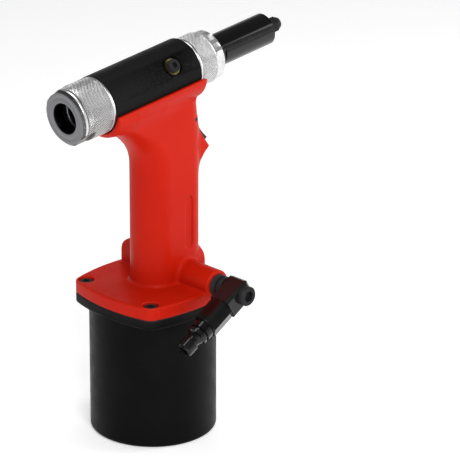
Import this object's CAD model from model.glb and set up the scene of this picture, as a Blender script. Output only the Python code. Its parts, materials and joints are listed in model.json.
"""Looks of the air-hydraulic rivet gun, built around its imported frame.

Shapes are worked out in millimetres in the frame's own axes and turned into metres when a mesh is made.
"""

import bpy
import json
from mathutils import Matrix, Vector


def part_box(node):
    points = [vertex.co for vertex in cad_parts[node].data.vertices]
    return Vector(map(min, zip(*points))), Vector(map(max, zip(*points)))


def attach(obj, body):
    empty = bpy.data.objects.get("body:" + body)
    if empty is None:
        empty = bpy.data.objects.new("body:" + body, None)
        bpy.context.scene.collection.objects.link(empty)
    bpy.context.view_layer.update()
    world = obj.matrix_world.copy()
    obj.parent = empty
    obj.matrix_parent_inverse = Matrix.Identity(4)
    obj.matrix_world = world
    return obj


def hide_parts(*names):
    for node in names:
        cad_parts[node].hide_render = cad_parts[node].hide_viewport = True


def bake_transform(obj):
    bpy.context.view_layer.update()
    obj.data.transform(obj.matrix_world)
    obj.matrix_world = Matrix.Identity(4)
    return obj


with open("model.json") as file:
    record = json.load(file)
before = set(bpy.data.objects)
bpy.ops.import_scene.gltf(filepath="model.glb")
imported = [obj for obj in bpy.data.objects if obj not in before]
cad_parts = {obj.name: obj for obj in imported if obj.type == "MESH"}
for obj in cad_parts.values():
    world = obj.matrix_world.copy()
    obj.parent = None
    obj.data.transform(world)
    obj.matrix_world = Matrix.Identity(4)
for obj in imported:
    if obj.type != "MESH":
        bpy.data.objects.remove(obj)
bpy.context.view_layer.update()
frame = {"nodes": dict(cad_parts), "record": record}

import json
from math import atan2, cos, hypot, pi, radians, sin, tan

import bpy
import numpy as np
from mathutils import Matrix, Vector

MM = 0.001
RECORD = frame["record"]
JOINTS = {joint["name"]: joint for joint in RECORD["behaviour"]["joints"]}
MOUNTS = {mount["name"]: mount for mount in RECORD["mounts"]}


def node_box(name):
    """Lowest and highest corner of a node, in millimetres."""
    low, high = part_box(name)
    return np.array(low) / MM, np.array(high) / MM


# ---------------------------------------------------------------- anchors read from the frame
BACK_AXIS = np.array(JOINTS["pull_slide"]["axis"])
TILT = atan2(-BACK_AXIS[2], -BACK_AXIS[0])
NOSE_POINT = np.array(MOUNTS["mandrel_entry"]["pos_m"]) / MM
HEAD_Z = NOSE_POINT[2] - NOSE_POINT[0] * tan(TILT)
TRIGGER_PIVOT = np.array(JOINTS["trigger_pivot"]["pos_m"]) / MM
SWIVEL = np.array(JOINTS["swivel_turn"]["pos_m"]) / MM
HANDLE_LOW, HANDLE_HIGH = node_box("handle")

HEAD = Matrix.Translation((0, 0, HEAD_Z)) @ Matrix.Rotation(-TILT, 4, "Y")

# Head sizes, along the barrel's axis from the point above the can's centre.
BARREL_R = 22.7
CAP_R = 22.4
CAP_BACK = -89.6
BARREL_BACK = -57.1
BARREL_FRONT = 33.1
NUT_FRONT = 60.3
NUT_R = 20.9


# ---------------------------------------------------------------- mesh helpers
def make_piece(name, verts, faces, place=None, smooth=True):
    """Object from millimetre points, with optional placing matrix."""
    points = np.asarray(verts, dtype=float)
    if place is not None:
        turn = np.array(place.to_3x3())
        points = points @ turn.T + np.array(place.translation)
    mesh = bpy.data.meshes.new(name)
    mesh.from_pydata((points * MM).tolist(), [], [tuple(int(i) for i in face) for face in faces])
    mesh.validate()
    if smooth:
        mesh.polygons.foreach_set("use_smooth", [True] * len(mesh.polygons))
    obj = bpy.data.objects.new(name, mesh)
    bpy.context.scene.collection.objects.link(obj)
    return obj


def crease(obj, angle=35):
    """Keeps edges sharper than the angle crisp."""
    obj.data.set_sharp_from_angle(angle=radians(angle))
    return obj


def dress(obj, look, body, slot, *nodes):
    """Gives a piece its material, its body, its record slot and the nodes it stands for."""
    obj.data.materials.clear()
    obj.data.materials.append(look)
    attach(obj, body)
    if nodes:
        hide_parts(*nodes)
    return obj


# ---------------------------------------------------------------- distance functions (millimetres)
def soft_union(a, b, k):
    """Shapes a and b joined, with a fillet about k wide."""
    h = np.clip(0.5 + 0.5 * (b - a) / k, 0, 1)
    return b * (1 - h) + a * h - k * h * (1 - h)


def soft_cut(a, b, k):
    """Shape a with shape b taken away."""
    return -soft_union(-a, b, k)


def capped(radial, along, low, high, round_by=0.0):
    """Distance to a bar whose section distance is radial, between low and high."""
    side = radial + round_by
    end = np.maximum(low - along, along - high) + round_by
    return np.hypot(np.maximum(side, 0), np.maximum(end, 0)) + np.minimum(np.maximum(side, end), 0) - round_by


def polygon_distance(u, v, points):
    """Signed distance to a closed polygon in the plane."""
    best = np.full(u.shape, 1e9)
    sign = np.ones(u.shape)
    for (ax, ay), (bx, by) in zip(points, points[1:] + points[:1]):
        ex, ey = bx - ax, by - ay
        wx, wy = u - ax, v - ay
        t = np.clip((wx * ex + wy * ey) / (ex * ex + ey * ey), 0, 1)
        best = np.minimum(best, (wx - ex * t) ** 2 + (wy - ey * t) ** 2)
        above, below = v >= ay, v < by
        left = ex * wy > ey * wx
        flip = (above & below & left) | (~above & ~below & ~left)
        sign = np.where(flip, -sign, sign)
    return sign * np.sqrt(best)


# ---------------------------------------------------------------- the red handle
FLANGE_TOP = 122.0
BASE_Z = HANDLE_LOW[2]
FLANGE_MIDDLE = 50.1
FLANGE_CENTRE = 36.4
FLANGE_CORNER = 8.6
GRIP_BACK = -17.0
GRIP_FRONT = 39.0
GRIP_HALF = 19.0
GRIP_CORNER = 13.0
SCREW_PITCH = 36.7
INLET_X, INLET_Z = SWIVEL[0], SWIVEL[2]
BOSS_R = 11.5
BOSS_END = HANDLE_LOW[1]
SADDLE_R = 26.2
SADDLE_BACK = -57.0
SADDLE_FRONT = 35.0
SADDLE_LIP = -5.2
GRIP_TAPER = 0.104             # how fast the front face leans back, from TAPER_FOOT to TAPER_HEAD
TAPER_FOOT = 240
TAPER_HEAD = 263
SWEEP_FOOT = 216               # above this the back of the grip sweeps rearwards
SWEEP_SCALE = 0.00293
SWEEP_POWER = 2.51
SWEEP_MOST = 36
GUARD_HALF = 12
TRIGGER_HALF = 6.3
TRIGGER_PIN_R = 1.62
PANEL_X = 21.8                 # long shallow recess on each side of the grip
PANEL_FOOT = 152.0
PANEL_HEAD = 187.0
PANEL_R = 4.05
PANEL_DEPTH = 1.25
SCREW_SEAT_R = 6.4
SCREW_HOLE_R = 3.3
TUBE_BORES = ((12, 100, 125.8), (9.5, 100, 261), (6.0, 250, 280))
PILOT_BORE_Z = 234
PILOT_BORE_R = 5.0
VALVE_BORE_R = 8.0
INLET_BORE_R = 6.55


def bowed_square(x, y):
    """Square with bulging sides and round corners."""
    big, small = np.maximum(np.abs(x), np.abs(y)), np.minimum(np.abs(x), np.abs(y))
    lead = FLANGE_MIDDLE - FLANGE_CENTRE
    side_r = (lead**2 + FLANGE_CENTRE**2 - FLANGE_CORNER**2) / (2 * (lead - FLANGE_CORNER))
    start = FLANGE_MIDDLE - side_r
    side = np.hypot(big - start, small) - side_r
    corner = np.hypot(big - FLANGE_CENTRE, small - FLANGE_CENTRE) - FLANGE_CORNER
    past = small * (FLANGE_CENTRE - start) > (big - start) * FLANGE_CENTRE
    return np.where(past, corner, side)


def grip_outline(x, y, z):
    """Grip section: half round behind, which sweeps back under the saddle; rounded corners in front."""
    face = GRIP_FRONT - GRIP_TAPER * np.clip(z - TAPER_FOOT, 0, TAPER_HEAD - TAPER_FOOT)
    above = np.maximum(z - SWEEP_FOOT, 0)
    sweep = np.minimum(SWEEP_SCALE * above ** SWEEP_POWER, SWEEP_MOST)
    across = np.abs(y)
    rear = GRIP_BACK + GRIP_HALF - sweep
    behind = np.hypot(x - rear, across) - GRIP_HALF
    qx = x - (face - GRIP_CORNER)
    qy = across - (GRIP_HALF - GRIP_CORNER)
    front = np.hypot(np.maximum(qx, 0), np.maximum(qy, 0)) + np.minimum(np.maximum(qx, qy), 0) - GRIP_CORNER
    slope = 1 / np.sqrt(1 + (SWEEP_SCALE * SWEEP_POWER * above ** (SWEEP_POWER - 1)) ** 2)
    return np.where(x < rear, behind * slope, front)


VALVE_LOW, VALVE_HIGH = node_box("valve_sleeve")
VALVE_X, VALVE_Z = (VALVE_LOW[0] + VALVE_HIGH[0]) / 2, (VALVE_LOW[2] + VALVE_HIGH[2]) / 2
BLOCK_TOP = 144.4


def rounded_box(u, v, u_mid, v_mid, u_half, v_half, radius):
    """Signed distance to a rectangle with round corners."""
    qu, qv = np.abs(u - u_mid) - (u_half - radius), np.abs(v - v_mid) - (v_half - radius)
    return np.hypot(np.maximum(qu, 0), np.maximum(qv, 0)) + np.minimum(np.maximum(qu, qv), 0) - radius


def valve_block(x, y, z):
    """Block across the foot of the grip: its ends are rounded over, and its left end is narrower."""
    wide = rounded_box(x, y, 23.6, 4.2, 16.6, 23.8, 3.2)
    lobe = rounded_box(x, y, 18.65, 13.05, 11.65, 32.65, 3.2)
    plan = soft_union(wide, lobe, 2.0)
    ends = rounded_box(y, z, 13.05, 94.4, 32.65, BLOCK_TOP - 94.4, 13.0)
    return -soft_union(-plan, -ends, 2.5)


GUARD = [(28, 252), (36.4, 252), (37.0, 246.0), (40.4, 238.8), (45.8, 230.8), (51.0, 223.6), (45.8, 218.9),
         (41.0, 212.9), (36.5, 205.5), (28, 203.5)]
TRIGGER_ROOM = [(26, 258), (26, 244), (35.5, 232), (36.5, 223), (70, 223), (70, 252), (45, 258)]


def handle_distance(p):
    """Distance from points to the surface of the handle casting, bores and slots included."""
    x, y, z = p[:, 0], p[:, 1], p[:, 2]
    along = x * cos(TILT) + (z - HEAD_Z) * sin(TILT)
    up = -x * sin(TILT) + (z - HEAD_Z) * cos(TILT)
    round_head = np.hypot(y, up)

    flange = capped(bowed_square(x, y), z, BASE_Z, FLANGE_TOP, 1.3)
    grip = capped(grip_outline(x, y, z), z, BASE_Z + 2, 268, 0.5)
    block = valve_block(x, y, z)
    boss = capped(np.hypot(x - INLET_X, z - INLET_Z) - BOSS_R, y, BOSS_END + 0.1, 0, 1.6)
    guard = capped(polygon_distance(x, z, GUARD), y, -GUARD_HALF, GUARD_HALF, 1.6)
    saddle = capped(round_head - SADDLE_R, along, SADDLE_BACK + 0.1, SADDLE_FRONT - 0.1, 0.8)

    body = soft_union(flange, grip, 3.2)
    body = soft_union(body, block, 3.0)
    body = soft_union(body, boss, 3.0)
    body = soft_union(body, guard, 4.0)
    body = soft_union(body, saddle, 9.0 - 6.5 * np.clip((x + 5) / 35, 0, 1))
    body = soft_cut(body, SADDLE_LIP - up, 1.2)
    body = soft_cut(body, np.maximum(SADDLE_FRONT - 0.2 - along, -30 - up), 1.2)
    body = soft_cut(body, round_head - (BARREL_R + 0.08), 0.6)
    behind = capped(round_head - (CAP_R + 0.9), along, -120, SADDLE_BACK)
    body = np.maximum(body, -behind)

    room = capped(polygon_distance(x, z, TRIGGER_ROOM), y, -TRIGGER_HALF, TRIGGER_HALF)
    body = soft_cut(body, room, 0.8)
    pin = np.hypot(x - TRIGGER_PIVOT[0], z - TRIGGER_PIVOT[2]) - TRIGGER_PIN_R
    body = np.maximum(body, -pin)
    panel = np.hypot(x - PANEL_X, z - np.clip(z, PANEL_FOOT, PANEL_HEAD)) - PANEL_R
    body = soft_cut(body, capped(panel, np.abs(y), GRIP_HALF - PANEL_DEPTH, 40, 0.3), 0.5)
    corner = np.hypot(np.abs(x) - SCREW_PITCH, np.abs(y) - SCREW_PITCH)
    body = soft_cut(body, capped(corner - SCREW_SEAT_R, z, 115, 140), 0.7)
    body = np.maximum(body, -(corner - SCREW_HOLE_R))

    centre = np.hypot(x, y)
    for radius, low, high in TUBE_BORES:
        body = np.maximum(body, -capped(centre - radius, z, low, high))
    body = np.maximum(body, -capped(np.hypot(y, z - PILOT_BORE_Z) - PILOT_BORE_R, x, 12.5, 45))
    body = np.maximum(body, -capped(np.hypot(x - VALVE_X, z - VALVE_Z) - VALVE_BORE_R, y, -13, 60))
    body = np.maximum(body, -capped(np.hypot(x - INLET_X, z - INLET_Z) - INLET_BORE_R, y, -70, -34))
    return body


def surface_points(distance, low, high, step):
    """Surface nets over a box: points pulled onto the zero level, and quads."""
    counts = [int((h - l) / step) + 2 for l, h in zip(low, high)]
    axes = [low[i] + step * np.arange(counts[i]) for i in range(3)]
    values = np.empty(counts, dtype=np.float32)
    yy, zz = np.meshgrid(axes[1], axes[2], indexing="ij")
    for i, x in enumerate(axes[0]):
        layer = np.column_stack([np.full(yy.size, x), yy.ravel(), zz.ravel()])
        values[i] = distance(layer).reshape(yy.shape)
    inside = values < 0
    cells = [c - 1 for c in counts]
    total = np.zeros(cells + [3])
    hits = np.zeros(cells)
    corners = [(i, j, k) for i in (0, 1) for j in (0, 1) for k in (0, 1)]

    def corner(grid, offset):
        return grid[tuple(slice(o, o + n) for o, n in zip(offset, cells))]

    for a in corners:
        for axis in range(3):
            if a[axis]:
                continue
            b = tuple(o + (axis == i) for i, o in enumerate(a))
            va, vb = corner(values, a), corner(values, b)
            cross = (va < 0) != (vb < 0)
            t = np.where(cross, va / np.where(cross, va - vb, 1), 0)
            hits += cross
            for i in range(3):
                total[..., i] += cross * (a[i] + (t if i == axis else 0))
    used = hits > 0
    index = np.full(cells, -1, dtype=np.int64)
    index[used] = np.arange(int(used.sum()))
    where = np.argwhere(used)
    points = (where + total[used] / hits[used][:, None]) * step + np.array(low)

    quads = []
    for axis in range(3):
        u, v = (axis + 1) % 3, (axis + 2) % 3
        first = inside[tuple(slice(0, -1) if i == axis else slice(1, -1) for i in range(3))]
        second = inside[tuple(slice(1, None) if i == axis else slice(1, -1) for i in range(3))]
        for flip, mask in ((False, first & ~second), (True, ~first & second)):
            spot = np.argwhere(mask)
            spot[:, u] += 1
            spot[:, v] += 1
            ring = []
            for du, dv in ((-1, -1), (0, -1), (0, 0), (-1, 0)):
                cell = spot.copy()
                cell[:, u] += du
                cell[:, v] += dv
                ring.append(index[tuple(cell.T)])
            quad = np.column_stack(ring)
            quads.append(quad[:, ::-1] if flip else quad)
    return points, np.concatenate(quads)


def settle(points, distance, rounds=3):
    """Moves points onto the exact surface."""
    reach = 0.05
    for _ in range(rounds):
        here = distance(points)
        slope = np.empty_like(points)
        for i in range(3):
            shift = np.zeros(3)
            shift[i] = reach
            slope[:, i] = (distance(points + shift) - distance(points - shift)) / (2 * reach)
        steep = np.maximum((slope**2).sum(axis=1), 0.2)
        points = points - slope * np.clip(here / steep, -0.4, 0.4)[:, None]
    return points


def build_handle(look):
    low = HANDLE_LOW - 1.5
    high = HANDLE_HIGH + 1.5
    step = 0.8
    points, quads = surface_points(handle_distance, low.tolist(), high.tolist(), step)
    points = settle(points, handle_distance)
    points = np.clip(points, HANDLE_LOW, HANDLE_HIGH)
    obj = make_piece("handle_casting", points, quads)
    return dress(obj, look, "gun", "red_paint", "handle")


# ---------------------------------------------------------------- turned pieces
def knurl_band(start, end, radius, teeth, depth, samples=6):
    """Diamond knurl: rings of (along, radius per angle) between two places."""
    around = teeth * samples
    pitch = 2 * pi * radius / teeth
    rows = max(2, int((end - start) / (pitch / samples)))
    rings = []
    angle = 2 * pi * np.arange(around) / around
    for i in range(rows + 1):
        x = start + (end - start) * i / rows
        phase = 2 * pi * (x - start) / pitch
        one = np.abs(((teeth * angle + phase) / (2 * pi)) % 1 - 0.5) * 2
        two = np.abs(((teeth * angle - phase) / (2 * pi)) % 1 - 0.5) * 2
        height = np.clip(1.25 * np.minimum(one, two), 0, 1)
        fade = min(1, i / 2, (rows - i) / 2)
        rings.append((x, radius - depth * (1 - height) * fade))
    return rings, around


def ring_mesh(rings, around):
    """Closed band mesh from rings of (along, radius or radii)."""
    angle = 2 * pi * np.arange(around) / around
    verts, faces = [], []
    for x, radius in rings:
        r = np.broadcast_to(radius, (around,))
        verts.append(np.column_stack([np.full(around, x), r * np.cos(angle), r * np.sin(angle)]))
    verts = np.concatenate(verts)
    nxt = (np.arange(around) + 1) % around
    count = len(rings)
    for n in range(count):
        m = (n + 1) % count
        a, b = n * around + np.arange(around), m * around + np.arange(around)
        faces.append(np.column_stack([a, n * around + nxt, m * around + nxt, b]))
    return verts, np.concatenate(faces)


def flat_rings(verts, test, across, count, turn):
    """Flats cut on an array of points."""
    points = verts.copy()
    chosen = test(points[:, 0])
    for k in range(count):
        centre = turn + 2 * pi * k / count
        normal = np.array([cos(centre), sin(centre)])
        reach = points[:, 1:] @ normal
        over = np.where(chosen & (reach > across), reach - across, 0)
        points[:, 1:] -= over[:, None] * normal
    return points


def build_rear_cap(look):
    front = BARREL_BACK - 0.25
    knurl, around = knurl_band(CAP_BACK + 5.0, front - 1.9, CAP_R - 0.05, 92, 0.55)
    rim = CAP_R - 0.02
    before = [(CAP_BACK + 9.0, 11.6), (CAP_BACK + 1.1, 11.6), (CAP_BACK + 0.5, 12.0), (CAP_BACK + 0.06, 12.7),
              (CAP_BACK, 13.0), (CAP_BACK, 15.6), (CAP_BACK + 0.1, 15.8), (CAP_BACK + 0.1, 17.4),
              (CAP_BACK, 17.6), (CAP_BACK, 19.9), (CAP_BACK + 0.15, 20.3), (CAP_BACK + 1.9, 22.0),
              (CAP_BACK + 2.4, rim), (CAP_BACK + 3.9, rim), (CAP_BACK + 4.15, rim - 0.75),
              (CAP_BACK + 4.7, rim - 0.75)]
    after = [(front - 1.8, rim - 0.5), (front - 1.7, rim), (front - 0.35, rim), (front, rim - 0.4),
             (front, 18.2), (CAP_BACK + 9.0, 18.2)]
    rings = before + knurl + after
    verts, faces = ring_mesh(rings, around)
    low, high = CAP_BACK - 1, CAP_BACK + 12.5
    verts = flat_rings(verts, lambda x: (x > low) & (x < high), 20.3, 2, radians(-130))
    obj = make_piece("rear_cap_knurled", verts, faces, HEAD)
    return dress(crease(obj, 50), look, "gun", "knurled_aluminium", "rear_cap")


def build_front_nut(look):
    start = BARREL_FRONT + 0.25
    knurl, around = knurl_band(start + 2.6, 51.2, NUT_R, 86, 0.5)
    before = [(start, 13.2), (start, NUT_R - 0.7), (start + 0.5, NUT_R - 0.15), (start + 2.2, NUT_R - 0.15),
              (start + 2.5, NUT_R - 0.5)]
    after = [(51.4, NUT_R - 0.9), (52.0, NUT_R - 1.0), (52.1, NUT_R - 0.6), (53.0, NUT_R - 0.5),
             (NUT_FRONT - 1.6, NUT_R - 0.5), (NUT_FRONT - 0.5, NUT_R - 1.3), (NUT_FRONT, NUT_R - 2.2),
             (NUT_FRONT, 13.2)]
    verts, faces = ring_mesh(before + knurl + after, around)
    verts = flat_rings(verts, lambda x: (x > 52.05) & (x < NUT_FRONT - 0.9), 18.2, 6, radians(8))
    obj = make_piece("front_lock_nut_knurled", verts, faces, HEAD)
    return dress(crease(obj, 50), look, "gun", "knurled_aluminium", "front_lock_nut")


# ---------------------------------------------------------------- springs
# Node, start along the head, mean radius, wire radius, length, turns, body at the start, body at the end.
HEAD_SPRINGS = (("return_spring", -82.0, 14.0, 1.3, 59.7, 9, "gun", "pull_rod"),
                ("jaw_spring", 62.2, 6.2, 0.8, 17.6, 5, "pull_rod", "pusher"))


def build_spring(node, look, place, mean_r, wire_r, length, turns):
    """Coil along local X whose two ends follow different bodies, so that it shortens when they close."""
    steps, sides = 28 * turns, 10
    angle = 2 * pi * np.arange(sides) / sides
    rise = length - 2 * wire_r
    slope = rise / (turns * 2 * pi * mean_r)
    lean = np.array([1.0, slope]) / hypot(1.0, slope)
    verts, faces = [], []
    for i in range(steps + 1):
        turn = 2 * pi * turns * i / steps
        outward = np.array([0, cos(turn), sin(turn)])
        round_way = np.array([0, -sin(turn), cos(turn)])
        across = np.array([lean[0], 0, 0]) - lean[1] * round_way
        centre = mean_r * outward + np.array([wire_r + rise * i / steps, 0, 0])
        verts.append(centre + wire_r * (np.outer(np.cos(angle), outward) + np.outer(np.sin(angle), across)))
        if i < steps:
            for k in range(sides):
                a, b = i * sides + k, i * sides + (k + 1) % sides
                faces.append((a, b, b + sides, a + sides))
    faces += [tuple(range(sides))[::-1], tuple(steps * sides + k for k in range(sides))]
    verts = np.clip(np.concatenate(verts), (0, -99, -99), (length, 99, 99))
    coil = make_piece(f"{node}_coil", verts, faces, place)
    coil.data.materials.append(look)
    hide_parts(node)
    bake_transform(coil)


def build_springs(look):
    for node, x, mean_r, wire_r, length, turns, start_body, end_body in HEAD_SPRINGS:
        place = HEAD @ Matrix.Translation((x, 0, 0))
        build_spring(node, look, place, mean_r, wire_r, length, turns)
    low, high = node_box("pilot_spring")
    place = Matrix.Translation((low[0], (low[1] + high[1]) / 2, (low[2] + high[2]) / 2))
    build_spring("pilot_spring", look, place, 3.0, 0.4, high[0] - low[0], 4)
    low, high = node_box("spool_spring")
    place = Matrix.Translation(((low[0] + high[0]) / 2, low[1], (low[2] + high[2]) / 2))
    place = place @ Matrix.Rotation(pi / 2, 4, "Z")
    build_spring("spool_spring", look, place, 4.6, 0.6, high[1] - low[1], 4)


# ---------------------------------------------------------------- materials
def new_look(name, base, rough, metal=0.0, coat=0.0, coat_rough=0.2, specular=0.5):
    look = bpy.data.materials.new(name)
    look.use_nodes = True
    nodes = look.node_tree.nodes
    shader = nodes["Principled BSDF"]
    shader.inputs["Base Color"].default_value = (*base, 1)
    shader.inputs["Roughness"].default_value = rough
    shader.inputs["Metallic"].default_value = metal
    shader.inputs["Coat Weight"].default_value = coat
    shader.inputs["Coat Roughness"].default_value = coat_rough
    shader.inputs["Specular IOR Level"].default_value = specular
    return look


class Wiring:
    """Adds procedural colour, roughness and bump to a look."""

    def __init__(self, look, base, rough):
        self.tree = look.node_tree
        self.shader = self.tree.nodes["Principled BSDF"]
        self.base, self.rough = base, rough
        self.where = self.add("ShaderNodeTexCoord").outputs["Object"]
        self.colour = None
        self.height = None

    def add(self, kind, **values):
        node = self.tree.nodes.new(kind)
        for key, value in values.items():
            setattr(node, key, value)
        return node

    def link(self, a, b):
        self.tree.links.new(a, b)

    def noise(self, scale, detail=3.0, rough=0.5, stretch=None):
        source = self.where
        if stretch:
            mapping = self.add("ShaderNodeMapping")
            mapping.inputs["Scale"].default_value = stretch
            self.link(source, mapping.inputs["Vector"])
            source = mapping.outputs["Vector"]
        node = self.add("ShaderNodeTexNoise")
        node.inputs["Scale"].default_value = scale
        node.inputs["Detail"].default_value = detail
        node.inputs["Roughness"].default_value = rough
        self.link(source, node.inputs["Vector"])
        return node.outputs["Fac"]

    def from_head(self, kind, result):
        """Distance along the head's centre line, or off it, in metres."""
        shift = self.add("ShaderNodeVectorMath", operation="SUBTRACT")
        self.link(self.where, shift.inputs[0])
        shift.inputs[1].default_value = (0, 0, HEAD_Z * MM)
        node = self.add("ShaderNodeVectorMath", operation=kind)
        self.link(shift.outputs["Vector"], node.inputs[0])
        node.inputs[1].default_value = tuple(float(v) for v in -BACK_AXIS)
        if result == "Value":
            return node.outputs["Value"]
        size = self.add("ShaderNodeVectorMath", operation="LENGTH")
        self.link(node.outputs["Vector"], size.inputs[0])
        return size.outputs["Value"]

    def ramp(self, value, low, high, out_low, out_high):
        node = self.add("ShaderNodeMapRange")
        for key, number in (("From Min", low), ("From Max", high), ("To Min", out_low), ("To Max", out_high)):
            node.inputs[key].default_value = number
        self.link(value, node.inputs["Value"])
        return node.outputs["Result"]

    def mix(self, value, first, second):
        node = self.add("ShaderNodeMix", data_type="RGBA")
        self.link(value, node.inputs["Factor"])
        for socket, colour in ((node.inputs[6], first), (node.inputs[7], second)):
            if isinstance(colour, tuple):
                socket.default_value = (*colour, 1)
            else:
                self.link(colour, socket)
        return node.outputs[2]

    def paint(self, value, low, high, colour):
        """Blends another colour in where value runs from low to high."""
        base = self.base if self.colour is None else self.colour
        self.colour = self.mix(self.ramp(value, low, high, 0, 1), base, colour)
        self.link(self.colour, self.shader.inputs["Base Color"])

    def roughen(self, value, low, high, spread):
        rough = self.ramp(value, low, high, self.rough - spread, self.rough + spread)
        self.link(rough, self.shader.inputs["Roughness"])

    def bump(self, value, strength, distance):
        node = self.add("ShaderNodeBump")
        node.inputs["Strength"].default_value = strength
        node.inputs["Distance"].default_value = distance
        self.link(value, node.inputs["Height"])
        if self.height is not None:
            self.link(self.height, node.inputs["Normal"])
        self.height = node.outputs["Normal"]
        self.link(self.height, self.shader.inputs["Normal"])


def edges(wiring):
    """How much a point stands out on an edge."""
    return wiring.add("ShaderNodeNewGeometry").outputs["Pointiness"]


def red_paint():
    base = (0.49, 0.012, 0.002)
    look = new_look("red_paint_look", base, 0.42, coat=0.02, coat_rough=0.25, specular=0.07)
    w = Wiring(look, base, 0.42)
    w.paint(w.noise(18, 4), 0.35, 0.7, (0.46, 0.009, 0.002))
    w.paint(edges(w), 0.53, 0.60, (0.62, 0.034, 0.012))
    w.paint(w.noise(900, 2), 0.66, 0.74, (0.38, 0.012, 0.006))
    w.roughen(w.noise(60, 4), 0.3, 0.7, 0.07)
    w.bump(w.noise(1500, 3, 0.6), 0.10, 0.0002)
    w.bump(w.noise(160, 3), 0.05, 0.0004)
    return look


def black_shell(name, base, rough, grain, strength, coat=0.0, specular=0.06, speck=1.5):
    look = new_look(name, base, rough, coat=coat, coat_rough=0.12, specular=specular)
    w = Wiring(look, base, rough)
    brighter = tuple(v * 1.5 + 0.001 for v in base)
    w.paint(w.noise(25, 4), 0.4, 0.75, brighter)
    w.paint(w.noise(grain, 2), 0.56, 0.66, tuple(v * speck for v in base))
    w.paint(edges(w), 0.54, 0.62, tuple(v * 2 + 0.006 for v in base))
    w.roughen(w.noise(90, 4), 0.3, 0.7, 0.06)
    w.bump(w.noise(grain, 3, 0.6), strength, 0.0003)
    return look


def turned_metal(name, base, rough, dark):
    look = new_look(name, base, rough, metal=1.0)
    w = Wiring(look, base, rough)
    w.paint(w.noise(40, 4), 0.35, 0.75, tuple(v * 0.8 for v in base))
    w.paint(w.noise(700, 3), 0.62, 0.72, dark)
    w.roughen(w.noise(300, 4), 0.3, 0.7, 0.08)
    w.bump(w.noise(900, 2, 0.5, stretch=(6, 1, 1)), 0.08, 0.0001)
    return look


def knurled_metal(name, crest, band_end):
    """Bright knurl with dark valleys, a duller turned end face and a black bore."""
    base = (0.66, 0.66, 0.66)
    look = new_look(name, base, 0.34, metal=1.0)
    w = Wiring(look, base, 0.34)
    along, off = w.from_head("DOT_PRODUCT", "Value"), w.from_head("CROSS_PRODUCT", "Vector")
    w.paint(off, (crest - 0.16) * MM, (crest - 0.50) * MM, (0.10, 0.10, 0.10))
    w.paint(along, band_end * MM, (band_end + 0.2) * MM, base)
    w.paint(w.noise(1400, 2), 0.60, 0.72, (0.45, 0.45, 0.45))
    w.paint(along, (CAP_BACK + 0.30) * MM, (CAP_BACK + 0.16) * MM, (0.20, 0.20, 0.21))
    w.paint(off, 12.6 * MM, 12.3 * MM, (0.004, 0.004, 0.004))
    w.roughen(w.noise(500, 3), 0.3, 0.7, 0.06)
    w.bump(w.noise(1500, 2, 0.5), 0.06, 0.0001)
    return look


LOOKS = {
    "red_paint": red_paint(),
    "black_paint": black_shell("black_can_look", (0.0013, 0.0013, 0.0014), 0.42, 700, 0.05),
    "black_coat": black_shell("black_grain_look", (0.0012, 0.0012, 0.0013), 0.42, 620, 0.9,
                              specular=0.035, speck=9),
    "gloss_black": black_shell("black_gloss_look", (0.002, 0.002, 0.0022), 0.16, 900, 0.04, coat=0.5),
    "dark_steel": black_shell("black_oxide_look", (0.014, 0.014, 0.015), 0.34, 1200, 0.10),
    "knurled_aluminium": knurled_metal("knurled_cap_look", CAP_R, BARREL_BACK),
    "cast_aluminium": turned_metal("machined_look", (0.62, 0.62, 0.63), 0.38, (0.30, 0.30, 0.30)),
    "ground_steel": turned_metal("ground_steel_look", (0.60, 0.60, 0.61), 0.22, (0.34, 0.34, 0.35)),
    "spring_steel": turned_metal("spring_look", (0.34, 0.34, 0.36), 0.35, (0.15, 0.13, 0.12)),
    "bearing_bronze": turned_metal("bronze_look", (0.52, 0.33, 0.14), 0.35, (0.25, 0.15, 0.07)),
    "brass_washer": turned_metal("brass_look", (0.20, 0.16, 0.06), 0.36, (0.08, 0.06, 0.03)),
    "seal_rubber": black_shell("rubber_look", (0.012, 0.012, 0.012), 0.65, 900, 0.2),
    "buffer_rubber": black_shell("buffer_look", (0.020, 0.020, 0.020), 0.60, 700, 0.2),
}


# ---------------------------------------------------------------- camera, lights, floor
CAMERA_TARGET = Vector((0.08496, 0, 0.14058))
CAMERA_BACK = Vector((-0.65577, -0.66220, 0.36256))
CAMERA_RIGHT = Vector((0.71164, -0.70253, 0.00402))
CAMERA_DISTANCE = 2.4332
CAMERA_LENS = 238.57
SENSOR_WIDTH = 36.0


def set_camera():
    data = bpy.data.cameras.new("view")
    data.lens = CAMERA_LENS
    data.sensor_width = SENSOR_WIDTH
    data.clip_end = 50
    camera = bpy.data.objects.new("view", data)
    back = CAMERA_BACK.normalized()
    camera.location = CAMERA_TARGET + back * CAMERA_DISTANCE
    right = CAMERA_RIGHT.normalized()
    up = back.cross(right)
    camera.rotation_euler = Matrix((right, up, back)).transposed().to_euler()
    bpy.context.scene.collection.objects.link(camera)
    bpy.context.scene.camera = camera
    return camera


def area_light(name, place, target, size, power, tall=None):
    data = bpy.data.lights.new(name, "AREA")
    data.energy = power
    data.shape = "RECTANGLE"
    data.size, data.size_y = size, tall or size
    light = bpy.data.objects.new(name, data)
    light.location = place
    light.rotation_euler = (Vector(target) - Vector(place)).to_track_quat("-Z", "Y").to_euler()
    bpy.context.scene.collection.objects.link(light)
    return light


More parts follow.
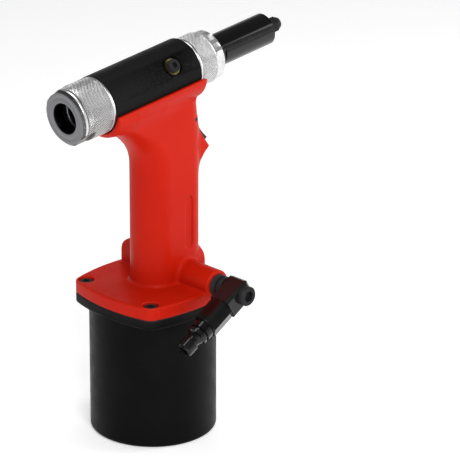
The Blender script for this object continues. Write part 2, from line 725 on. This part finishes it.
def set_stage():
    size = 6.0
    floor = make_piece("floor", [(-size / MM, -size / MM, -0.05), (size / MM, -size / MM, -0.05),
                                 (size / MM, size / MM, -0.05), (-size / MM, size / MM, -0.05)],
                       [(0, 1, 2, 3)], smooth=False)
    look = new_look("floor_look", (0.93, 0.93, 0.93), 0.6)
    w = Wiring(look, (0.93, 0.93, 0.93), 0.6)
    w.paint(w.noise(3, 2), 0.3, 0.7, (0.92, 0.92, 0.92))
    w.shader.inputs["Emission Color"].default_value = (1, 1, 1, 1)
    w.shader.inputs["Emission Strength"].default_value = 0.34
    floor.data.materials.append(look)
    world = bpy.data.worlds.new("studio")
    world.use_nodes = True
    tree = world.node_tree
    parts = tree.nodes.new("ShaderNodeSeparateXYZ")
    fade = tree.nodes.new("ShaderNodeMapRange")
    for key, number in (("From Min", 0.02), ("From Max", 0.45), ("To Min", 1.05), ("To Max", 0.18)):
        fade.inputs[key].default_value = number
    tree.links.new(tree.nodes.new("ShaderNodeTexCoord").outputs["Generated"], parts.inputs["Vector"])
    tree.links.new(parts.outputs["Z"], fade.inputs["Value"])
    tree.links.new(fade.outputs["Result"], tree.nodes["Background"].inputs["Strength"])
    tree.nodes["Background"].inputs["Color"].default_value = (1, 1, 1, 1)
    bpy.context.scene.world = world
    bpy.context.scene.view_settings.view_transform = "Standard"
    area_light("key", (-0.9, -1.5, 1.5), (0, 0, 0.2), 0.9, 30, 1.3)
    area_light("right", (1.4, -0.9, 0.7), (0, 0, 0.2), 0.7, 12, 1.2)
    area_light("top", (0.1, 0.2, 1.9), (0, 0, 0.2), 1.0, 12)


set_camera()
set_stage()
build_handle(LOOKS["red_paint"])
build_rear_cap(LOOKS["knurled_aluminium"])
build_springs(LOOKS["spring_steel"])
build_front_nut(knurled_metal("knurled_nut_look", NUT_R, 51.3))

SLOT_OF = {part["node"]: part["material_slot"] for part in RECORD["subparts"]}
for name, obj in frame["nodes"].items():
    look = LOOKS["dark_steel" if name == "trigger_pin" else SLOT_OF[name]]
    obj.data.materials.clear()
    obj.data.materials.append(look)
